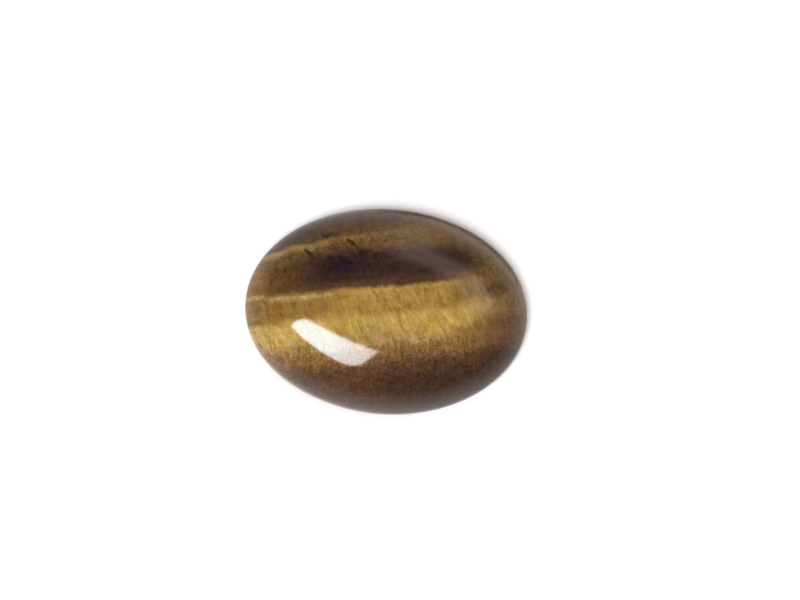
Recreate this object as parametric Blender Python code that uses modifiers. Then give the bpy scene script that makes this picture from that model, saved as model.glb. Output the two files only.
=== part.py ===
"""An oval tiger's eye cabochon: one polished stone with a flat back, a low girdle and a domed face.

The stone lies on its flat back at z = 0, with its long axis along X and its crown on the Z axis.
"""

import math

import bpy

# The stone's sizes, in metres. It is a standard 30 x 22 mm oval.
LENGTH = 0.0300
WIDTH = 0.0220
HEIGHT = 0.0070

# The back edge is broken by a small bevel, and the girdle stands on it, leaning in towards the face.
BACK_BEVEL = 0.00035
GIRDLE_TOP = 0.0011
GIRDLE_LEAN = math.radians(8)

# The face is an ellipse's arc, which starts this far up from the ellipse's widest point.
FACE_START = math.radians(9)

# Facets of the solid.
STEPS_AROUND = 112
STEPS_UP = 28

SHARP_ANGLE = math.radians(30)
STONE_BROWN = (0.24, 0.13, 0.05, 1.0)
POLISH = 0.12


def clear_scene():
    """Remove what the scene holds."""
    for thing in list(bpy.data.objects):
        bpy.data.objects.remove(thing)


def collection_named(name):
    """A new collection in the scene."""
    made = bpy.data.collections.new(name)
    bpy.context.scene.collection.children.link(made)
    return made


def polished_stone():
    """Golden brown stone with a gloss."""
    material = bpy.data.materials.new("polished_tigers_eye")
    material.use_nodes = True
    shader = material.node_tree.nodes["Principled BSDF"]
    shader.inputs["Base Color"].default_value = STONE_BROWN
    shader.inputs["Roughness"].default_value = POLISH
    shader.inputs["Metallic"].default_value = 0.0
    material.diffuse_color = STONE_BROWN
    return material


def half_section():
    """The stone's half section along its length, from the crown down its side to the middle of the back."""
    half = LENGTH / 2
    girdle_half = half - (GIRDLE_TOP - BACK_BEVEL) * math.tan(GIRDLE_LEAN)
    arc_half = girdle_half / math.cos(FACE_START)
    arc_height = (HEIGHT - GIRDLE_TOP) / (1 - math.sin(FACE_START))
    arc_centre = HEIGHT - arc_height
    points = []
    for step in range(STEPS_UP + 1):
        angle = math.radians(90) + (FACE_START - math.radians(90)) * step / STEPS_UP
        points.append((arc_half * math.cos(angle), arc_centre + arc_height * math.sin(angle)))
    points[0] = (0.0, HEIGHT)
    points.append((half, BACK_BEVEL))
    points.append((half - BACK_BEVEL, 0.0))
    points.append((0.0, 0.0))
    return points


def turned(name, section, steps, collection):
    """A closed solid turned from a half section about the Z axis."""
    mesh = bpy.data.meshes.new(name)
    corners = [(x, 0.0, z) for x, z in section]
    mesh.from_pydata(corners, [(i, i + 1) for i in range(len(corners) - 1)], [])
    solid = bpy.data.objects.new(name, mesh)
    collection.objects.link(solid)
    screw = solid.modifiers.new("Turn", "SCREW")
    screw.axis = "Z"
    screw.steps = steps
    screw.render_steps = steps
    screw.use_merge_vertices = True
    screw.merge_threshold = 0.00001
    screw.use_smooth_shade = True
    return solid


def as_mesh(solid):
    """Take the modifiers' result as the object's own mesh."""
    evaluated = solid.evaluated_get(bpy.context.evaluated_depsgraph_get())
    finished = bpy.data.meshes.new_from_object(evaluated)
    finished.name = solid.name
    solid.modifiers.clear()
    solid.data = finished


def make_cabochon(collection):
    """The whole stone: a round dome turned from its section, then drawn in across its width to the oval."""
    stone = turned("cabochon", half_section(), STEPS_AROUND, collection)
    as_mesh(stone)
    for vertex in stone.data.vertices:
        vertex.co.y *= WIDTH / LENGTH
    stone.data.materials.clear()
    stone.data.materials.append(polished_stone())
    stone.data.shade_smooth()
    stone.data.set_sharp_from_angle(angle=SHARP_ANGLE)
    return stone


def main():
    clear_scene()
    make_cabochon(collection_named("tigers_eye_cabochon"))


main()
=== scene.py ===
"""The looks of an oval tiger's eye cabochon, laid out as a Blender add-on and run as a script.

The stone is one polished piece. Its bands and its silky fibre run right through it, so the back and the
girdle show the same layers as the face.
"""

import math

import bmesh
import bpy
from bpy.props import FloatProperty, FloatVectorProperty, IntProperty, PointerProperty
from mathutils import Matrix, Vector


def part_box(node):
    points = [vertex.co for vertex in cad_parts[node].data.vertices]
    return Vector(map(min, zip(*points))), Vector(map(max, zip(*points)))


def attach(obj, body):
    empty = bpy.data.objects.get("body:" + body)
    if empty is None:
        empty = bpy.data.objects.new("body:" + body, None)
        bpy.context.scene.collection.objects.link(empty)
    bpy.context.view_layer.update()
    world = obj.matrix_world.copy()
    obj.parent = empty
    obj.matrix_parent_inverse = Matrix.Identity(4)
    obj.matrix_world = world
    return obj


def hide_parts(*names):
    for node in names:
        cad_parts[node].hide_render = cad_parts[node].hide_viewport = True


bl_info = {
    "name": "Tiger's Eye Cabochon",
    "version": (1, 0, 0),
    "blender": (4, 5, 0),
    "location": "3D View > Sidebar > Cabochon",
    "description": "Models a polished oval tiger's eye cabochon and a small stage to look at it",
    "category": "Object",
}

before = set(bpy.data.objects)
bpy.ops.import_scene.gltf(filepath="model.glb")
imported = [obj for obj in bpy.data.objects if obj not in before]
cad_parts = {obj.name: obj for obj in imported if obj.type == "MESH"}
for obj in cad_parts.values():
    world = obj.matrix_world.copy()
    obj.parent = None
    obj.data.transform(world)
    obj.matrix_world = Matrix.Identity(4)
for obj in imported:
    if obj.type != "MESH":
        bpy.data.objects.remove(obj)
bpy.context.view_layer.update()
LOWEST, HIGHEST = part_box("cabochon")

MM = 0.001
DEGREES = 180 / math.pi

# How the stone's mesh is closed and shaded.
WELD = 0.001 * MM
EDGE_STEPS = 3
SMOOTH_BELOW = math.radians(40)

# How the photograph's viewing angle shows height up the picture: a direction across the stone and a drop
# in mm.
PICTURE_UP = (0.0, 0.990, 0.139)
PICTURE_DROP = 0.24

# Grain lengths of the fibre's noises, in mm: along the fibre, across it in the face, and across it in depth.
WAVE_GRAIN = (2.2, 1.2, 2.0)
BUNDLE_GRAIN = (1.9, 0.46, 1.3)
HAIR_GRAIN = (1.1, 0.12, 0.45)
SPECK_GRAIN = (0.34, 0.15, 0.3)
FLAW_GRAIN = (1.6, 0.22, 0.8)

# Grain lengths of the layers' noises, in mm: along the stone, up through the bands, and down into the stone.
LINE_GRAIN = (5.0, 0.32, 5.0)
BAND_GRAIN = (4.5, 0.85, 4.5)

# The fibre's slow wander in mm, the height below which it leans further over, and its lean for each mm there.
FIBRE_DRIFT = 0.5
LEAN_BELOW = -3.0
LEAN = 0.4

# A fine break across the bands near the left end, past which the layers stand a little higher: where it
# starts and ends along the stone, over which heights the slip sets in, and how far the layers slipped, in mm.
BREAK = (-12.68, -12.85)
BREAK_HEIGHT = (4.0, 3.0)
BREAK_SLIP = 0.32

# How many grains the noises without a direction have in each mm.
MOTTLE_SCALE = 1.3
GRIT_SCALE = 3.4
HUE_SCALE = 1.6
BLUSH_SCALE = 1.5
CLOUD_SCALE = 0.7
LIVELY_SCALE = 0.8
DRIFT_SCALE = 0.45
PIT_SCALE = 4.5

# Tints of the darkest and the brightest silk, each in the golden band and in the dark layers, of a flaw in
# the silk, and of the wandering hue.
DARK_SILK, DARK_GRAIN = (0.70, 0.63, 0.42), (0.70, 0.63, 0.52)
LIT_SILK, LIT_GRAIN = (1.25, 1.37, 1.66), (1.25, 1.37, 1.53)
FLAW_TINT = (0.66, 0.64, 0.58)
GREENER, REDDER = (0.93, 1.04, 0.95), (1.07, 0.965, 1.05)
YELLOWER, BLUER = (0.995, 1.015, 0.76), (1.005, 0.985, 1.26)

# The marks lie only in the face and fade out between these heights above the back, in mm. Their colour is
# this share of dark umber, and this share of each mark's width is fully dark.
MARK_FLOOR = (1.6, 2.2)
MARK_SHADE = 0.5
MARK_CORE = 0.3

# Dark needles and one faint crack in the stone: where each starts and ends along the stone and up the
# picture, its width in mm, and how dark it is.
MARKS = (
    ((-4.42, 6.95), (-3.86, 6.60), 0.27, 0.85),
    ((-3.86, 6.60), (-3.31, 6.13), 0.22, 0.65),
    ((-2.97, 5.80), (-2.93, 5.30), 0.24, 0.80),
    ((-2.93, 5.30), (-2.97, 4.20), 0.18, 0.35),
    ((-8.81, 5.61), (-8.33, 5.27), 0.24, 0.70),
    ((-8.33, 5.27), (-7.98, 4.90), 0.34, 0.75),
    ((-7.07, 7.25), (-6.72, 7.08), 0.26, 0.80),
    ((-6.56, 7.28), (-6.30, 7.45), 0.30, 0.80),
    ((-5.95, 7.45), (-5.70, 7.28), 0.30, 0.35),
    ((-10.84, 3.42), (-10.82, 3.10), 0.24, 0.70),
    ((-12.87, 0.15), (-12.33, -0.89), 0.24, 0.22),
    ((-12.33, -0.89), (-12.07, -2.04), 0.22, 0.24),
    ((-12.07, -2.04), (-11.86, -3.70), 0.20, 0.18),
    ((-11.98, -3.80), (-11.64, -5.10), 0.20, 0.30),
    ((-11.12, -5.50), (-10.88, -6.00), 0.28, 0.30),
)

# The soft box: a card turned so that its reflection tapers to the left. Each corner is given by its place on
# the card and by the radius that rounds it, in metres, and the card's glow by the place along it in mm.
BOX_CORNERS = (
    (0.192, 0.063, 0.090), (0.192, -0.063, 0.028), (-0.183, 0.065, 0.004), (-0.187, -0.058, 0.042)
)
BOX_GLOW = (
    (-182.0, (0.59, 0.64, 0.67)), (-140.0, (0.59, 0.66, 0.71)), (-100.0, (0.64, 0.76, 0.89)),
    (-60.0, (0.66, 0.82, 0.97)), (-20.0, (0.65, 0.85, 1.00)), (30.0, (0.56, 0.77, 0.98)),
    (100.0, (0.61, 0.79, 0.98)), (190.0, (0.76, 0.88, 0.93)),
)
BOX_GLOW_REACH = 200.0
BOX_SIDE_TINT = (0.94, 0.89, 0.84)
BOX_START_SIZE = 0.01
BOX_CORNER_STEPS = 10
BOX_TURN = (math.radians(138.4), math.radians(-22.6), math.radians(161.7))
BOX_AZIMUTH = math.radians(-54.3)
BOX_ELEVATION = math.radians(51.1)
BOX_DISTANCE = 0.404

# The light from all round overhead.
TENT_ELEVATION = math.radians(90)
TENT_SPREAD = math.radians(150)

# How bright the surroundings are that the polish mirrors, from below the horizon to overhead: elevation in
# degrees and brightness. Then their tints, and the colours of what stands out in them.
GROUND_GLOW = (
    (-60.0, 0.97), (-42.0, 0.90), (-26.0, 0.86), (-12.0, 0.67),
    (0.0, 0.45), (7.0, 0.24), (15.0, 0.11), (30.0, 0.06),
)
GROUND_TINT = (1.02, 1.0, 1.0)
HALF_DIMMED = (0.5, 0.5, 0.5)
HALF_BRIGHTER = (1.5, 1.5, 1.5)
FOREGROUND_WHITE = (2.1, 2.08, 2.05)
GLINT_WHITE = (1.1, 1.06, 1.06)
STONE_SHADOW = (0.23, 0.24, 0.27)
LOW_PANEL = (1.0, 0.78, 0.76)
HIGH_PANEL = (1.18, 0.84, 0.87)
BACKDROP = (0.8, 0.8, 0.8)

# The floor lies just under the stone's back, so that the two don't touch.
FLOOR_RADIUS = 2.0
FLOOR_SIDES = 96
FLOOR_DROP = 0.02 * MM

# The camera aims beside the stone's middle, to the right and up the picture.
AIM_RIGHT = 1.44 * MM
AIM_UP = 1.23 * MM
SENSOR_WIDTH = 36
CLIP_NEAR = 0.005
CLIP_FAR = 20


class CabochonSizes(bpy.types.PropertyGroup):
    """The cut of the stone."""

    length: FloatProperty(
        name="Length", description="Across the oval's long way", subtype="DISTANCE",
        default=HIGHEST.x - LOWEST.x, precision=5,
    )
    width: FloatProperty(
        name="Width", description="Across the oval's short way", subtype="DISTANCE",
        default=HIGHEST.y - LOWEST.y, precision=5,
    )
    height: FloatProperty(
        name="Height", description="From the flat back to the crown", subtype="DISTANCE",
        default=HIGHEST.z - LOWEST.z, precision=5,
    )
    back_bevel: FloatProperty(
        name="Back bevel", description="Width of the bevel that breaks the back's edge", subtype="DISTANCE",
        default=0.35 * MM, precision=5,
    )
    girdle_top: FloatProperty(
        name="Girdle top", description="Height at which the girdle meets the face", subtype="DISTANCE",
        default=1.1 * MM, precision=5,
    )
    girdle_lean: FloatProperty(
        name="Girdle lean", description="How far the girdle leans in towards the face", subtype="ANGLE",
        default=math.radians(8),
    )
    face_start: FloatProperty(
        name="Face start", description="Where on its ellipse the face's curve begins", subtype="ANGLE",
        default=math.radians(9),
    )
    edge_round: FloatProperty(
        name="Edge round", description="How far the polish rounds the edges over", subtype="DISTANCE",
        default=0.12 * MM, precision=5,
    )
    steps_around: IntProperty(name="Steps around", description="Facets around the oval", default=256, min=16)
    steps_over: IntProperty(name="Steps over", description="Facets from pole to pole", default=160, min=16)


def colour_property(name, description, default):
    """A colour that the user can change."""
    return FloatVectorProperty(name=name, description=description, subtype="COLOR", default=default)


class TigersEyeFinish(bpy.types.PropertyGroup):
    """The colours, the fibre and the polish of the stone."""

    # Painted sheen: pale gold is a bright patch of the silk's chatoyant shine at the left end.
    pale_sheen_gold: colour_property("Pale gold", "The brightest silk, at the left end", (0.432, 0.267, 0.068))
    # Painted sheen: lit gold is the lit stripe and crest of the broad band, standing in for the silk's
    # chatoyant shine.
    sheen_gold: colour_property("Lit gold", "The brightest stripe of the broad band", (0.395, 0.247, 0.056))
    gold: colour_property("Gold", "The upper half of the broad band", (0.300, 0.172, 0.037))
    tan: colour_property("Tan", "The lower half of the broad band", (0.302, 0.180, 0.056))
    ochre: colour_property("Ochre", "Shaded parts of the broad band", (0.230, 0.120, 0.028))
    olive: colour_property("Olive", "The broad band's upper right corner", (0.182, 0.108, 0.025))
    cream: colour_property("Cream", "The thin bright line at the left end", (0.44, 0.305, 0.11))
    amber: colour_property("Amber", "Where gold starts to fade at the foot", (0.200, 0.097, 0.028))
    brown: colour_property("Brown", "Where amber fades into dark", (0.093, 0.043, 0.020))
    umber: colour_property("Umber", "The left half of the foot", (0.076, 0.034, 0.016))
    dark_umber: colour_property("Dark umber", "The right half of the foot", (0.043, 0.018, 0.009))
    rust: colour_property("Rust", "Reddish left end of the dark band", (0.106, 0.048, 0.013))
    smoke: colour_property("Smoke", "The dark band", (0.035, 0.0155, 0.012))
    plum: colour_property("Plum", "The darkest, purple part of the dark band", (0.018, 0.008, 0.012))
    russet: colour_property("Russet", "The stone's right end", (0.152, 0.086, 0.036))
    sienna: colour_property("Sienna", "The right end's lower half", (0.112, 0.056, 0.025))
    tawny: colour_property("Tawny", "The head of the stone", (0.129, 0.068, 0.022))
    slate: colour_property("Slate", "The head's left end", (0.045, 0.0215, 0.016))
    band_rise: FloatProperty(
        name="Band rise", description="How much the bands climb for each length along the stone",
        default=0.165,
    )
    fibre_angle: FloatProperty(
        name="Fibre angle", description="Angle of the fibre to the stone's length", subtype="ANGLE",
        default=math.radians(-61),
    )
    fibre_dip: FloatProperty(
        name="Fibre dip", description="How far the fibre dives into the stone", subtype="ANGLE",
        default=math.radians(30),
    )
    fibre_bump: FloatProperty(
        name="Fibre bump", description="How strongly the fibre tilts the light under the polish", default=0.4
    )
    fibre_depth: FloatProperty(
        name="Fibre depth", description="How deep the fibre's bump reads", subtype="DISTANCE",
        default=0.02 * MM, precision=6,
    )
    silk_roughness: FloatProperty(
        name="Silk roughness", description="Roughness of the silk under the polish", default=0.5
    )
    polish_roughness: FloatProperty(
        name="Polish roughness", description="How much the polish blurs what it mirrors", default=0.085
    )
    polish_index: FloatProperty(
        name="Polish index", description="Refractive index of the polish, which is quartz", default=1.54
    )
    pit_depth: FloatProperty(
        name="Pit depth", description="How much of the polish is missing in its faint pits", default=0.16
    )


class StageSettings(bpy.types.PropertyGroup):
    """The camera, the lights and the floor."""

    view_azimuth: FloatProperty(
        name="View azimuth", description="How far the camera stands round from the front", subtype="ANGLE",
        default=math.radians(4.0),
    )
    view_elevation: FloatProperty(
        name="View elevation", description="How high the camera stands", subtype="ANGLE",
        default=math.radians(82),
    )
    lens: FloatProperty(name="Lens", description="Focal length", subtype="DISTANCE_CAMERA", default=100)
    distance: FloatProperty(
        name="Distance", description="From the camera to the stone", subtype="DISTANCE", default=235.6 * MM
    )
    box_radiance: FloatProperty(name="Box radiance", description="How bright the soft box is", default=18.0)
    key_strength: FloatProperty(
        name="Key strength", description="How bright the light from the front left is", default=2.65
    )
    key_azimuth: FloatProperty(
        name="Key azimuth", description="How far round from the front the key light stands, left if negative",
        subtype="ANGLE", default=math.radians(-30),
    )
    key_elevation: FloatProperty(
        name="Key elevation", description="How high the key light stands", subtype="ANGLE",
        default=math.radians(64),
    )
    key_spread: FloatProperty(
        name="Key spread", description="How wide the key light is", subtype="ANGLE", default=math.radians(40),
    )
    tent_strength: FloatProperty(
        name="Tent strength", description="How bright the light from all round overhead is", default=1.35
    )
    floor_tone: FloatProperty(name="Floor tone", description="How pale the floor is", default=0.865)


class Shade:
    """One output of a material's nodes. A sum on it adds the Math node that the sum stands for."""

    def __init__(self, tree, socket):
        self.tree = tree
        self.socket = socket

    def node(self, kind, settings=None, values=None, output=0):
        """Add a node: its settings first, then the values or links of its sockets. Returns one output."""
        return add_node(self.tree, kind, settings, values, output)

    def vector_math(self, operation, *values, output="Vector", **named):
        """A Vector Math node on vectors or other outputs."""
        settings = {"operation": operation}
        return self.node("ShaderNodeVectorMath", settings, {**dict(enumerate(values)), **named}, output)

    def math(self, operation, *values, clamp=False):
        """A Math node on plain numbers or other outputs."""
        settings = {"operation": operation, "use_clamp": clamp}
        return self.node("ShaderNodeMath", settings, dict(enumerate(values)))

    def __add__(self, other):
        return self.math("ADD", self, other)

    __radd__ = __add__

    def __sub__(self, other):
        return self.math("SUBTRACT", self, other)

    def __rsub__(self, other):
        return self.math("SUBTRACT", other, self)

    def __mul__(self, other):
        return self.math("MULTIPLY", self, other)

    __rmul__ = __mul__

    def __truediv__(self, other):
        return self.math("DIVIDE", self, other)

    def clamped(self):
        """The same value, held between 0 and 1."""
        return self.math("ADD", self, 0.0, clamp=True)

    def rising(self, start, end):
        """0 below start and 1 above end, with a smooth step between. It falls where start is above end."""
        settings = {"interpolation_type": "SMOOTHSTEP"}
        if start > end:
            values = {"Value": self, "From Min": end, "From Max": start, "To Min": 1.0, "To Max": 0.0}
        else:
            values = {"Value": self, "From Min": start, "From Max": end}
        return self.node("ShaderNodeMapRange", settings, values)

    def near(self, centre, reach):
        """1 at centre, falling smoothly to 0 at reach on either side."""
        return self.rising(centre - reach, centre) * self.rising(centre + reach, centre)


def add_node(tree, kind, settings=None, values=None, output=0):
    """Add a node to a tree. A value is a number, a colour, a vector or another node's output."""
    made = tree.nodes.new(kind)
    for name, value in (settings or {}).items():
        if name == "stops":
            set_stops(made.color_ramp, value)
        else:
            setattr(made, name, value)
    for name, value in (values or {}).items():
        if isinstance(value, Shade):
            tree.links.new(value.socket, made.inputs[name])
        else:
            made.inputs[name].default_value = value
    return Shade(tree, made.outputs[output])


def set_stops(ramp, stops):
    """Give a colour ramp its stops, each a place from 0 to 1 and a colour."""
    while len(ramp.elements) < len(stops):
        ramp.elements.new(0.5)
    for element, (place, colour) in zip(ramp.elements, stops):
        element.position = place
        element.color = opaque(colour)


def opaque(colour):
    """A colour with its alpha."""
    return (*colour[:3], 1.0)


def mixed(mask, low, high):
    """A colour that goes from low to high as the mask rises. Each is a colour or a node's output."""
    values = {
        "Factor": mask,
        6: low if isinstance(low, Shade) else opaque(low),
        7: high if isinstance(high, Shade) else opaque(high),
    }
    settings = {"data_type": "RGBA", "blend_type": "MIX", "clamp_factor": True}
    return mask.node("ShaderNodeMix", settings, values, output=2)


def noise(vector, scale=1.0, detail=2.0, roughness=0.5, distortion=0.0):
    """Smooth noise around zero, from -0.5 to 0.5."""
    values = {
        "Vector": vector, "Scale": scale, "Detail": detail, "Roughness": roughness, "Distortion": distortion
    }
    return vector.node("ShaderNodeTexNoise", {"noise_dimensions": "3D"}, values) - 0.5


def noise_vector(vector, scale):
    """Three smooth noises at once, as a vector around zero."""
    values = {"Vector": vector, "Scale": scale, "Detail": 1.0}
    colour = vector.node("ShaderNodeTexNoise", {"noise_dimensions": "3D"}, values, output="Color")
    return colour.vector_math("SUBTRACT", colour, (0.5, 0.5, 0.5))


def along(vector, direction):
    """How far a vector output reaches in one direction."""
    return vector.vector_math("DOT_PRODUCT", vector, direction, output="Value")


def stretched(parts, lengths):
    """A noise vector whose three parts, in mm, are each measured in that part's own grain length."""
    scaled = [part / length for part, length in zip(parts, lengths)]
    return parts[0].node("ShaderNodeCombineXYZ", None, dict(enumerate(scaled)))


def new_material(name):
    """An empty node material. Returns it, its tree and its output node."""
    material = bpy.data.materials.new(name)
    material.use_nodes = True
    material.node_tree.nodes.clear()
    output = material.node_tree.nodes.new("ShaderNodeOutputMaterial")
    return material, material.node_tree, output


def in_millimetres(tree):
    """The piece's own coordinates, in mm."""
    place = add_node(tree, "ShaderNodeTexCoord", output="Object")
    return place.vector_math("SCALE", place, Scale=1 / MM)


def tinted(colour, tint):
    """A colour output times a tint."""
    return colour.vector_math("MULTIPLY", colour, tint)


def darkened(colour, factor):
    """A fixed colour times a factor."""
    return tuple(part * factor for part in colour)


def by_place(place, lowest, highest, colours):
    """A colour that follows a value between lowest and highest: each stop is a value and the colour there."""
    stops = [((at - lowest) / (highest - lowest), colour) for at, colour in colours]
    share = (place - lowest) / (highest - lowest)
    return place.node("ShaderNodeValToRGB", {"stops": stops}, {"Fac": share})


def along_segment(flat, start, end, width):
    """1 on a short straight mark in a flat vector output, falling to 0 at its width."""
    heading = Vector(end) - Vector(start)
    offset = flat.vector_math("SUBTRACT", flat, (*start, 0))
    share = along(offset, (*(heading / heading.length_squared), 0)).clamped()
    reached = flat.vector_math("SCALE", (*heading, 0), Scale=share)
    away = flat.vector_math("DISTANCE", offset, reached, output="Value")
    return away.rising(width, width * MARK_CORE)


class Grain:
    """Where a point lies in the stone's layers and fibre, in mm, with the noises that the layers share."""

    def __init__(self, place, finish):
        self.place = place
        self.x = along(place, (1, 0, 0))
        self.depth = along(place, (0, 0, 1))
        self.picture = along(place, PICTURE_UP) - PICTURE_DROP
        layered = self.picture - self.x * finish.band_rise
        slip = self.x.rising(*BREAK) * layered.rising(*BREAK_HEIGHT) * BREAK_SLIP
        self.height = layered - slip
        bent = self.bent()
        parts = [along(bent, direction) for direction in fibre_directions(finish)]
        level = (self.x, self.height, self.depth)
        self.waves = noise(stretched(parts, WAVE_GRAIN))
        self.bundles = noise(stretched(parts, BUNDLE_GRAIN), detail=2.5, roughness=0.6, distortion=0.3)
        self.hairs = noise(stretched(parts, HAIR_GRAIN), detail=1, distortion=0.3)
        self.specks = noise(stretched(parts, SPECK_GRAIN), detail=1)
        self.flaws = noise(stretched(parts, FLAW_GRAIN), detail=1)
        self.lines = noise(stretched(level, LINE_GRAIN), detail=1)
        self.bands = noise(stretched(level, BAND_GRAIN), detail=1)
        self.mottle = noise(place, MOTTLE_SCALE)
        self.grit = noise(place, GRIT_SCALE)
        self.hue = noise(place, HUE_SCALE, detail=1)
        self.blush = noise(place, BLUSH_SCALE, distortion=0.4)
        self.cloud = noise(place, CLOUD_SCALE, detail=1)

    def bent(self):
        """The place moved by the fibre's slow wander, and sideways by its further lean in the foot."""
        drift = self.place.vector_math("SCALE", noise_vector(self.place, DRIFT_SCALE), Scale=FIBRE_DRIFT)
        sideways = self.height.math("MAXIMUM", LEAN_BELOW - self.height, 0.0) * LEAN
        lean = sideways.node("ShaderNodeCombineXYZ", None, {"X": sideways})
        return self.place.vector_math("ADD", self.place.vector_math("ADD", self.place, drift), lean)

    def edge(self, start, end, ragged, wavy=0.0):
        """A step between two layers, torn along the fibre and wavy along the layer."""
        height = self.height + self.bundles * ragged + self.hairs * ragged + self.waves * wavy
        return height.rising(start, end)


def fibre_directions(finish):
    """Unit vectors along the fibre, across it in the face, and across it in depth."""
    lean, dip = finish.fibre_angle, finish.fibre_dip
    fibre = Vector((math.cos(lean) * math.cos(dip), math.sin(lean) * math.cos(dip), -math.sin(dip)))
    across = -fibre.cross(Vector((0, 0, 1))).normalized()
    return fibre, across, across.cross(fibre)


# In the layers, x and height are in mm, and near and rising take places along them. A number that such a mask
# is multiplied by says how strongly it shows.


def gold_layer(grain, finish):
    """The broad band: gold over a lit stripe of painted sheen over tan, shaded at its upper corners, with a
    pale patch of painted sheen at its left end.
    """
    x = grain.x
    lift = x.rising(8.0, 11.0) * 0.6
    height = grain.height - lift + grain.bundles * 0.5 + grain.hairs * 0.5 + grain.waves
    # Painted sheen: the lit stripe, the lit crest over it and the sheen further right stand in for the silk's
    # chatoyant shine.
    colour = mixed(height.rising(0.0, -0.9), finish.gold, finish.sheen_gold)
    sheen_crest = height.near(1.9, 0.9)
    colour = mixed(sheen_crest * x.near(-1.6, 3.4) * 0.5, colour, finish.sheen_gold)
    sheen = x.near(5.0, 4.0)
    under = grain.height + (grain.bundles + grain.hairs) * 0.8 + grain.waves * 1.2 + sheen * 0.4
    colour = mixed(under.rising(-1.7, -3.0) * (1 - sheen * 0.1), colour, finish.tan)
    shade = (x + grain.waves).near(-1.2, 2.6) * height.near(-1.9, 1.2)
    colour = mixed(shade * 0.55, colour, finish.olive)
    colour = gold_left_end(grain, finish, colour, sheen_crest)
    colour = gold_right_end(grain, finish, colour, height)
    line = (grain.height + grain.waves * 0.2).near(2.13, 0.46) * (1 - x.near(-12.42, 0.4))
    strength = x.rising(-4.0, -8.0) * 0.42 + x.rising(7.0, 5.0) * 0.13 + x.rising(-12.6, -12.9) * 0.08
    return mixed(line * strength, colour, finish.cream)


def gold_left_end(grain, finish, colour, sheen_crest):
    """The broad band's left end: a pale patch of painted sheen under a shaded brow, and a redder edge."""
    x = grain.x
    over_patch = grain.height - (x + 10.0) * 0.125 + grain.lines * 0.3 + grain.waves * 0.35
    softness = x.rising(-13.0, -12.4) * 0.9 + 0.5
    brow = (over_patch + 0.35) / softness
    shaded = brow.rising(-0.6, 0.6)
    left = (x + grain.waves * 3.0 + grain.bundles * 2.0).rising(-4.0, -6.6)
    # The painted sheen of the crest stays bright where the left end is shaded.
    still_lit = sheen_crest * x.near(-7.0, 2.5) * 0.35
    colour = mixed(left * shaded * (1 - still_lit), colour, finish.ochre)
    # Painted sheen: a pale patch at the left end, under the shaded brow.
    patch = brow.rising(0.3, -0.7) * x.rising(-7.5, -10.5) * grain.edge(-3.3, -2.3, 0.8, 0.8)
    colour = mixed(patch, colour, finish.pale_sheen_gold)
    redder = x.rising(-12.75, -13.15) * x.rising(-14.4, -13.5) * shaded
    return mixed(redder * 0.5, colour, finish.russet)


def gold_right_end(grain, finish, colour, height):
    """The broad band's right end: an olive corner over a shaded lower half."""
    right = grain.x + grain.waves * 2.0 + grain.bundles * 1.5
    colour = mixed(right.rising(6.1, 7.9) * height.rising(-0.1, 0.7) * 0.95, colour, finish.olive)
    spread = grain.x.rising(8.0, 10.5)
    below = (height + 2.6 - spread * 0.35) / (spread * 0.7 + 0.4)
    return mixed(right.rising(6.2, 8.4) * below.rising(1.0, -1.0), colour, finish.ochre)


def foot_layer(grain, finish, gold):
    """The foot of the stone: the gold breaks up through amber and brown grains into umber."""
    coarse = grain.x.rising(-8.5, -10.5)
    fine = (grain.specks * 1.1 + grain.grit * 1.3) * (1 - coarse * 0.6)
    frayed = grain.bundles * 0.6 + grain.hairs * 0.8 + grain.waves * 1.2 + fine + grain.mottle * coarse
    rise = grain.height + frayed + grain.cloud * 0.9 - grain.x.rising(-3.0, 4.0) * 0.22
    low = mixed(grain.x.rising(5.0, -5.0), finish.dark_umber, finish.umber)
    colour = mixed(rise.rising(-7.9, -5.2), low, finish.brown)
    colour = mixed(rise.rising(-6.05, -4.35), colour, finish.amber)
    return mixed(rise.rising(-4.3, -3.3), colour, gold)


def right_end(grain, finish, colour):
    """Towards the right end the silk turns dull and russet, darker lower down and in one blotch."""
    height = grain.height + grain.waves * 1.5 + grain.grit
    dull = mixed(height.rising(-0.8, -2.4), finish.russet, finish.sienna)
    dull = mixed(height.rising(-3.6, -6.0), dull, finish.dark_umber)
    reach = grain.x + grain.waves * 2.2 + grain.bundles * 1.2 + grain.lines * 1.5 + grain.grit
    colour = mixed(reach.rising(7.4, 13.4), colour, dull)
    blotch = (grain.x + grain.waves * 1.5).near(11.4, 2.4) * (grain.height + grain.waves).near(1.2, 1.6)
    return mixed(blotch * 0.88, colour, finish.umber)


def dark_layer(grain, finish):
    """The dark band: rusty at its left end, smoke and plum in the middle, olive and russet at its right."""
    x, height = grain.x, grain.height
    drift = x + grain.mottle * 2.5
    plum = drift.near(-4.9, 3.4) * (height + grain.mottle).near(5.0, 1.7)
    colour = mixed(plum, finish.smoke, finish.plum)
    colour = mixed(drift.rising(-6.5, -12.3), colour, finish.rust)
    olive_end = (drift - (5.5 - height) * 0.3).rising(7.0, 10.2)
    colour = mixed(olive_end, colour, darkened(finish.olive, 0.58))
    colour = mixed(drift.rising(10.0, 12.4), colour, finish.russet)
    colour = mixed((x + grain.mottle).rising(-12.0, -13.8) * 0.85, colour, finish.ochre)
    lit = x.rising(6.0, 8.5) * 0.5 - x.near(3.0, 3.5) * 0.13 + x.near(-4.0, 2.0) * 0.12 + 0.36
    fringe = grain.edge(3.8, 2.8, 0.4) * lit
    return mixed(fringe, colour, finish.tawny)


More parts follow.
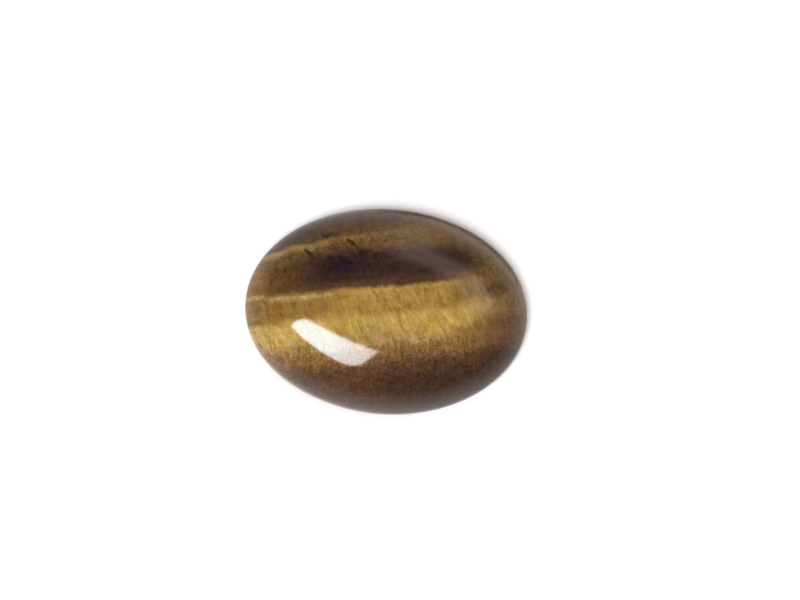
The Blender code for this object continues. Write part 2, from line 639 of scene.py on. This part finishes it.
def head_layer(grain, finish, dark):
    """The head: tawny over the dark band, with a bright seam that bends down at its left end."""
    x = grain.x
    bend = x.rising(-6.0, -14.0) * 0.95
    sway = x.near(-8.0, 1.7) * 0.28 - x.near(-10.2, 1.6) * 0.15
    over_seam = grain.height + bend + sway - x * 0.03 - 8.12
    rise = over_seam + x.rising(-6.0, 10.0) * 1.1 - 0.25 + grain.mottle * 0.9 + grain.waves * 0.8
    sag = x.rising(6.0, 8.5) * 0.4 - x.rising(-1.5, -4.0) * 0.22
    colour = mixed((rise + sag).rising(-2.6, -0.5), dark, finish.tawny)
    over = over_seam - x.rising(0.0, 3.0) * 0.9 + grain.mottle * 0.5 + grain.waves * 0.4
    dim = over.rising(-0.1, 0.4) * 0.45 + over.rising(0.3, 2.0) * 0.55
    colour = mixed(dim, colour, finish.umber)
    slate_end = dim * (x + grain.mottle * 2.0).rising(-6.5, -9.0)
    colour = mixed(slate_end * 0.8, colour, finish.slate)
    torn = over_seam + grain.bundles * 0.25 + grain.grit * 0.3
    seam = torn.rising(-0.75, -0.05) * torn.rising(0.42, -0.05)
    strength = x.rising(-5.0, -11.5) * 0.52 + x.rising(-0.5, -3.5) * 0.19 + x.rising(5.0, 3.0) * 0.10
    return mixed(seam * strength, colour, finish.tan)


def band_top(grain):
    """1 above the golden band and 0 in it. The band's top edge steps down and up along the stone."""
    x = grain.x
    torn = grain.bundles * 0.6 + grain.hairs * 0.3 + grain.waves * 0.3
    step = x.rising(-4.0, 0.5) * 0.2 - x.near(-4.5, 0.9) * 0.13 + x.near(-1.4, 0.5) * 0.14
    step = step + x.near(1.2, 1.0) * 0.12 - x.rising(8.0, 8.8) * x.rising(10.2, 9.3) * 0.35
    return (grain.height + step + torn).rising(2.28, 2.88)


def silk(grain, colour):
    """Lights and darkens a colour along the fibre in the golden band, and grain by grain in the dark ones."""
    x, height = grain.x, grain.height
    fibrous = height.rising(3.4, 2.4) * height.rising(-6.0, -4.0) * (1 - x.rising(9.5, 13.0) * 0.4)
    foot = height.rising(-3.0, -4.6)
    lively = noise(grain.place, LIVELY_SCALE, detail=1).rising(-0.2, 0.2) * 1.1 + 0.45
    left = x.rising(-7.0, -9.5)
    level = grain.lines * (left * 0.7 + 0.2) + grain.bands * (0.4 - x.rising(1.0, 5.0) * 0.2)
    fibre = (grain.bundles * 1.65 + grain.hairs * (0.6 - left * 0.3)) * lively
    streak = fibre * (fibrous * 0.75 + 0.25) + level * (fibrous * 0.6 + 0.4)
    grains = grain.specks * (foot * 1.0 + 0.45 + fibrous * 0.15)
    calm = 1 - x.rising(-0.5, 3.5) * height.rising(4.2, 6.2) * 0.35
    grainy = (grain.grit * (1.8 - fibrous * 1.0) + grain.mottle * (1.8 - fibrous * 1.2) + grains) * calm
    dim = mixed(fibrous, DARK_GRAIN, DARK_SILK)
    bright = mixed(fibrous, LIT_GRAIN, LIT_SILK)
    colour = mixed(streak + grainy + 0.5, tinted(colour, dim), tinted(colour, bright))
    flaw = grain.flaws.rising(0.12, 0.22) * fibrous * 0.45
    colour = mixed(flaw, colour, tinted(colour, FLAW_TINT))
    blush = (grain.blush + grain.cloud * 0.5) * (3.5 - fibrous * 2.2) + 0.5
    colour = mixed(blush, tinted(colour, GREENER), tinted(colour, REDDER))
    return mixed(grain.hue * 2.3 + 0.5, tinted(colour, YELLOWER), tinted(colour, BLUER))


def marked(grain, finish, colour):
    """Draws the dark needles and the crack over a colour."""
    flat = grain.place.node("ShaderNodeCombineXYZ", None, {"X": grain.x, "Y": grain.picture})
    in_face = grain.depth.rising(*MARK_FLOOR)
    pitch = darkened(finish.dark_umber, MARK_SHADE)
    worn = (grain.grit * 2.0 + 1.0).clamped()
    for start, end, width, darkness in MARKS:
        mark = along_segment(flat, start, end, width) * in_face
        colour = mixed(mark * (worn * darkness), colour, pitch)
    return colour


def tigers_eye(finish):
    """Polished tiger's eye: layers and fibre as solid texture under a glassy polish."""
    material, tree, output = new_material("tigers_eye_silk")
    place = in_millimetres(tree)
    grain = Grain(place, finish)
    gold = right_end(grain, finish, foot_layer(grain, finish, gold_layer(grain, finish)))
    dark = head_layer(grain, finish, dark_layer(grain, finish))
    colour = marked(grain, finish, silk(grain, mixed(band_top(grain), gold, dark)))
    ridges = {"Strength": finish.fibre_bump, "Distance": finish.fibre_depth, "Height": grain.hairs}
    pits = noise(place, PIT_SCALE).rising(0.08, 0.22)
    looks = {
        "Base Color": colour,
        "Normal": add_node(tree, "ShaderNodeBump", None, ridges, output="Normal"),
        "Roughness": finish.silk_roughness,
        "Metallic": 0.0,
        "Specular IOR Level": 0.0,
        "Coat Weight": 1 - pits * finish.pit_depth,
        "Coat Roughness": finish.polish_roughness,
        "Coat IOR": finish.polish_index,
    }
    shader = add_node(tree, "ShaderNodeBsdfPrincipled", None, looks)
    tree.links.new(shader.socket, output.inputs["Surface"])
    return material


def deselect_all():
    """Leave nothing selected, so that an operator acts only on what is added next."""
    bpy.ops.object.select_all(action="DESELECT")


def select_level_edges(mesh, heights):
    """In edit mode, select only the edges that lie level at one of the heights."""
    bpy.ops.mesh.select_all(action="DESELECT")
    edit = bmesh.from_edit_mesh(mesh)
    for edge in edit.edges:
        ends = [corner.co.z for corner in edge.verts]
        edge.select = any(all(abs(end - height) < WELD for end in ends) for height in heights)
    edit.select_flush_mode()
    bmesh.update_edit_mesh(mesh)


def select_corner(mesh, place):
    """In edit mode, select only the corner that lies at a place, give or take a millimetre."""
    bpy.ops.mesh.select_all(action="DESELECT")
    edit = bmesh.from_edit_mesh(mesh)
    for corner in edit.verts:
        corner.select = (corner.co - place).length < MM
    edit.select_flush_mode()
    bmesh.update_edit_mesh(mesh)


def draw_down(mesh, fall, half_before, half_after):
    """In edit mode, extrude the open lower rim down and give it its new half length."""
    lowest = min(corner.co.z for corner in bmesh.from_edit_mesh(mesh).verts)
    select_level_edges(mesh, (lowest,))
    bpy.ops.mesh.extrude_edges_move(TRANSFORM_OT_translate={"value": (0, 0, -fall)})
    stretch = half_after / half_before
    bpy.ops.transform.resize(value=(stretch, stretch, 1), center_override=(0, 0, 0))


def model_cabochon(sizes):
    """The stone: an ellipsoid cut off at the girdle, drawn down to the back, closed, with rounded edges."""
    half = sizes.length / 2
    girdle_fall = sizes.girdle_top - sizes.back_bevel
    girdle_half = half - girdle_fall * math.tan(sizes.girdle_lean)
    arc_half = girdle_half / math.cos(sizes.face_start)
    arc_height = (sizes.height - sizes.girdle_top) / (1 - math.sin(sizes.face_start))
    squash = sizes.width / sizes.length
    deselect_all()
    bpy.ops.mesh.primitive_uv_sphere_add(
        segments=sizes.steps_around, ring_count=sizes.steps_over, radius=1.0,
        location=(0, 0, sizes.height - arc_height), scale=(arc_half, arc_half * squash, arc_height),
    )
    stone = bpy.context.object
    stone.name = stone.data.name = "tigers_eye_stone"
    bpy.ops.object.transform_apply(location=True, rotation=True, scale=True)
    bpy.ops.object.mode_set(mode="EDIT")
    bpy.ops.mesh.select_mode(type="EDGE")
    bpy.ops.mesh.select_all(action="SELECT")
    bpy.ops.mesh.bisect(
        plane_co=(0, 0, sizes.girdle_top), plane_no=(0, 0, 1), clear_inner=True, threshold=WELD / 10
    )
    draw_down(stone.data, girdle_fall, girdle_half, half)
    draw_down(stone.data, sizes.back_bevel, half, half - sizes.back_bevel)
    bpy.ops.mesh.edge_face_add()
    select_level_edges(stone.data, (0.0, sizes.back_bevel, sizes.girdle_top))
    bpy.ops.mesh.bevel(offset=sizes.edge_round, segments=EDGE_STEPS, profile=0.5, affect="EDGES")
    bpy.ops.mesh.select_all(action="SELECT")
    bpy.ops.mesh.remove_doubles(threshold=WELD)
    bpy.ops.mesh.normals_make_consistent(inside=False)
    bpy.ops.object.mode_set(mode="OBJECT")
    bpy.ops.object.shade_smooth_by_angle(angle=SMOOTH_BELOW)
    return stone


class AddCabochon(bpy.types.Operator):
    """Model the polished stone and give it its bands"""

    bl_idname = "cabochon.add_stone"
    bl_label = "Add Stone"
    bl_options = {"REGISTER", "UNDO"}

    def execute(self, context):
        stone = model_cabochon(context.scene.cabochon_sizes)
        stone.data.materials.clear()
        stone.data.materials.append(tigers_eye(context.scene.tigers_eye_finish))
        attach(stone, "root")
        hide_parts("cabochon")
        return {"FINISHED"}


def towards(azimuth, elevation):
    """The unit vector from the stone towards something that stands at that azimuth and elevation."""
    level = math.cos(elevation)
    return Vector((math.sin(azimuth) * level, -math.cos(azimuth) * level, math.sin(elevation)))


def add_floor(tone):
    """A plain pale floor, which the polish doesn't mirror."""
    deselect_all()
    bpy.ops.mesh.primitive_circle_add(
        vertices=FLOOR_SIDES, radius=FLOOR_RADIUS, fill_type="NGON", location=(0, 0, -FLOOR_DROP)
    )
    floor = bpy.context.object
    floor.name = floor.data.name = "floor"
    bpy.ops.object.transform_apply(location=True, rotation=True, scale=True)
    material, tree, output = new_material("pale_floor")
    matt = add_node(tree, "ShaderNodeBsdfDiffuse", None, {"Color": (tone, tone, tone, 1.0)})
    tree.links.new(matt.socket, output.inputs["Surface"])
    floor.data.materials.append(material)
    floor.visible_glossy = False


def model_soft_box():
    """The soft box's card: a small square whose corners are pulled to their places and rounded."""
    deselect_all()
    bpy.ops.mesh.primitive_plane_add(size=BOX_START_SIZE)
    card = bpy.context.object
    card.name = card.data.name = "soft_box"
    bpy.ops.object.mode_set(mode="EDIT")
    bpy.ops.mesh.select_mode(type="VERT")
    half = BOX_START_SIZE / 2
    for x, y, _ in BOX_CORNERS:
        start = Vector((math.copysign(half, x), math.copysign(half, y), 0))
        select_corner(card.data, start)
        bpy.ops.transform.translate(value=Vector((x, y, 0)) - start)
    for x, y, radius in BOX_CORNERS:
        select_corner(card.data, Vector((x, y, 0)))
        bpy.ops.mesh.bevel(
            offset=radius, offset_type="OFFSET", segments=BOX_CORNER_STEPS, affect="VERTICES"
        )
    bpy.ops.object.mode_set(mode="OBJECT")
    return card


def glowing_cloth(radiance):
    """The soft box's cloth: its glow changes along the card, and is warmer at its two long sides."""
    material, tree, output = new_material("soft_box_cloth")
    place = in_millimetres(tree)
    across = along(place, (0, 1, 0))
    colour = by_place(along(place, (1, 0, 0)), -BOX_GLOW_REACH, BOX_GLOW_REACH, BOX_GLOW)
    sides = across.rising(5.0, 58.0) + across.rising(-28.0, -58.0) * 0.6
    colour = mixed(sides, colour, tinted(colour, BOX_SIDE_TINT))
    glow = add_node(tree, "ShaderNodeEmission", None, {"Color": colour, "Strength": radiance})
    tree.links.new(glow.socket, output.inputs["Surface"])
    return material


def add_soft_box(stage):
    """A strip soft box up on the left: the sharp highlight on the polish, and nothing else."""
    card = model_soft_box()
    card.rotation_euler = BOX_TURN
    card.location = towards(BOX_AZIMUTH, BOX_ELEVATION) * BOX_DISTANCE
    card.data.materials.append(glowing_cloth(stage.box_radiance))
    card.visible_camera = False
    card.visible_diffuse = False
    card.visible_shadow = False


def add_sun(name, strength, azimuth, elevation, spread):
    """Soft light from far away, which the polish doesn't mirror."""
    light = bpy.data.lights.new(name, "SUN")
    light.energy = strength
    light.angle = spread
    lamp = bpy.data.objects.new(name, light)
    bpy.context.scene.collection.objects.link(lamp)
    lamp.rotation_euler = towards(azimuth, elevation).to_track_quat("Z", "Y").to_euler()
    lamp.visible_glossy = False


def mirrored_ground(place, azimuth, elevation):
    """Pale ground that fades into a dim room: dimmer on the left, brighter in front, dark in the shadow."""
    greys = [(angle, (tone, tone, tone)) for angle, tone in GROUND_GLOW]
    ground = tinted(by_place(elevation, -90.0, 90.0, greys), GROUND_TINT)
    left = along(place, (-1.0, 0.03, 0)).rising(0.5, 1.0)
    back_left = azimuth.near(125.0, 32.0)
    ground = mixed(left * 0.3 + back_left * 0.35, ground, tinted(ground, HALF_DIMMED))
    front = along(place, (-0.26, -0.97, 0)).rising(0.3, 0.9)
    ground = mixed(front * 0.6, ground, tinted(ground, HALF_BRIGHTER))
    foreground = azimuth.near(-125.0, 42.0) * elevation.rising(-30.0, -54.0)
    ground = mixed(foreground * 0.8, ground, FOREGROUND_WHITE)
    glint = azimuth.near(62.0, 45.0) * elevation.near(-14.0, 15.0)
    ground = mixed(glint * 0.6, ground, GLINT_WHITE)
    lower = elevation - azimuth.rising(45.0, 88.0) * 8.0
    shadow = azimuth.rising(20.0, 54.0) * azimuth.rising(106.0, 84.0)
    shadow = shadow * elevation.rising(-24.0, -36.0) * lower.rising(-74.0, -47.0)
    return mixed(shadow, ground, STONE_SHADOW)


def mirrored_panel(azimuth, elevation, ground):
    """A dim panel that stands up behind the stone on the right, with a strip of it reaching lower down."""
    strip = azimuth.rising(66.0, 77.0) * azimuth.rising(102.0, 84.0)
    strip = strip * elevation.rising(-6.0, 4.0) * elevation.rising(38.0, 29.0)
    sky = mixed(strip * 0.7, ground, LOW_PANEL)
    sides = azimuth.rising(0.0, 14.0) * azimuth.rising(95.0, 80.0)
    inner = elevation + azimuth.rising(45.0, 75.0) * 4.0
    reach = elevation.rising(27.0, 37.0) * inner.rising(57.0, 47.0)
    return mixed(sides * reach, sky, HIGH_PANEL)


def add_world():
    """Plain pale surroundings, dim overhead but for a panel, and an even backdrop for the camera.

    Azimuth runs from the right, at 0, to behind the stone, at 90, and on to the left.
    """
    world = bpy.data.worlds.new("studio")
    bpy.context.scene.world = world
    world.use_nodes = True
    tree = world.node_tree
    tree.nodes.clear()
    output = tree.nodes.new("ShaderNodeOutputWorld")
    place = add_node(tree, "ShaderNodeTexCoord", output="Generated")
    height = along(place, (0, 0, 1))
    azimuth = height.math("ARCTAN2", along(place, (0, 1, 0)), along(place, (1, 0, 0))) * DEGREES
    elevation = height.math("ARCSINE", height) * DEGREES
    sky = mirrored_panel(azimuth, elevation, mirrored_ground(place, azimuth, elevation))
    camera_ray = add_node(tree, "ShaderNodeLightPath", output="Is Camera Ray")
    colour = mixed(camera_ray, sky, BACKDROP)
    background = add_node(tree, "ShaderNodeBackground", None, {"Color": colour})
    tree.links.new(background.socket, output.inputs["Surface"])


def add_camera(stage):
    """A long lens, almost straight above the stone, as in the photograph."""
    view = towards(stage.view_azimuth, stage.view_elevation)
    right = Vector((math.cos(stage.view_azimuth), math.sin(stage.view_azimuth), 0))
    up = view.cross(right)
    aim = right * AIM_RIGHT + up * AIM_UP
    lens = bpy.data.cameras.new("camera")
    lens.lens = stage.lens
    lens.sensor_width = SENSOR_WIDTH
    lens.clip_start = CLIP_NEAR
    lens.clip_end = CLIP_FAR
    camera = bpy.data.objects.new("camera", lens)
    bpy.context.scene.collection.objects.link(camera)
    camera.location = aim + view * stage.distance
    camera.rotation_euler = view.to_track_quat("Z", "Y").to_euler()
    bpy.context.scene.camera = camera


class AddStage(bpy.types.Operator):
    """Add the floor, the lights and the camera"""

    bl_idname = "cabochon.add_stage"
    bl_label = "Add Stage"
    bl_options = {"REGISTER", "UNDO"}

    def execute(self, context):
        stage = context.scene.cabochon_stage
        add_floor(stage.floor_tone)
        add_soft_box(stage)
        add_sun("key", stage.key_strength, stage.key_azimuth, stage.key_elevation, stage.key_spread)
        add_sun("tent", stage.tent_strength, 0.0, TENT_ELEVATION, TENT_SPREAD)
        add_world()
        add_camera(stage)
        context.scene.view_settings.view_transform = "Standard"
        return {"FINISHED"}


class CabochonPanel(bpy.types.Panel):
    """Lists the steps and the values of the cabochon"""

    bl_idname = "VIEW3D_PT_cabochon"
    bl_label = "Cabochon"
    bl_space_type = "VIEW_3D"
    bl_region_type = "UI"
    bl_category = "Cabochon"

    def draw(self, context):
        scene = context.scene
        for operator, groups in (
            (AddCabochon, (scene.cabochon_sizes, scene.tigers_eye_finish)),
            (AddStage, (scene.cabochon_stage,)),
        ):
            box = self.layout.box()
            box.operator(operator.bl_idname)
            for group in groups:
                for name in group.__annotations__:
                    box.prop(group, name)


CLASSES = (CabochonSizes, TigersEyeFinish, StageSettings, AddCabochon, AddStage, CabochonPanel)
GROUPS = {
    "cabochon_sizes": CabochonSizes,
    "tigers_eye_finish": TigersEyeFinish,
    "cabochon_stage": StageSettings,
}


def register():
    for each in CLASSES:
        bpy.utils.register_class(each)
    for name, group in GROUPS.items():
        setattr(bpy.types.Scene, name, PointerProperty(type=group))


def unregister():
    for name in GROUPS:
        delattr(bpy.types.Scene, name)
    for each in reversed(CLASSES):
        bpy.utils.unregister_class(each)


def main():
    register()
    bpy.ops.cabochon.add_stone()
    bpy.ops.cabochon.add_stage()


if __name__ == "__main__":
    main()
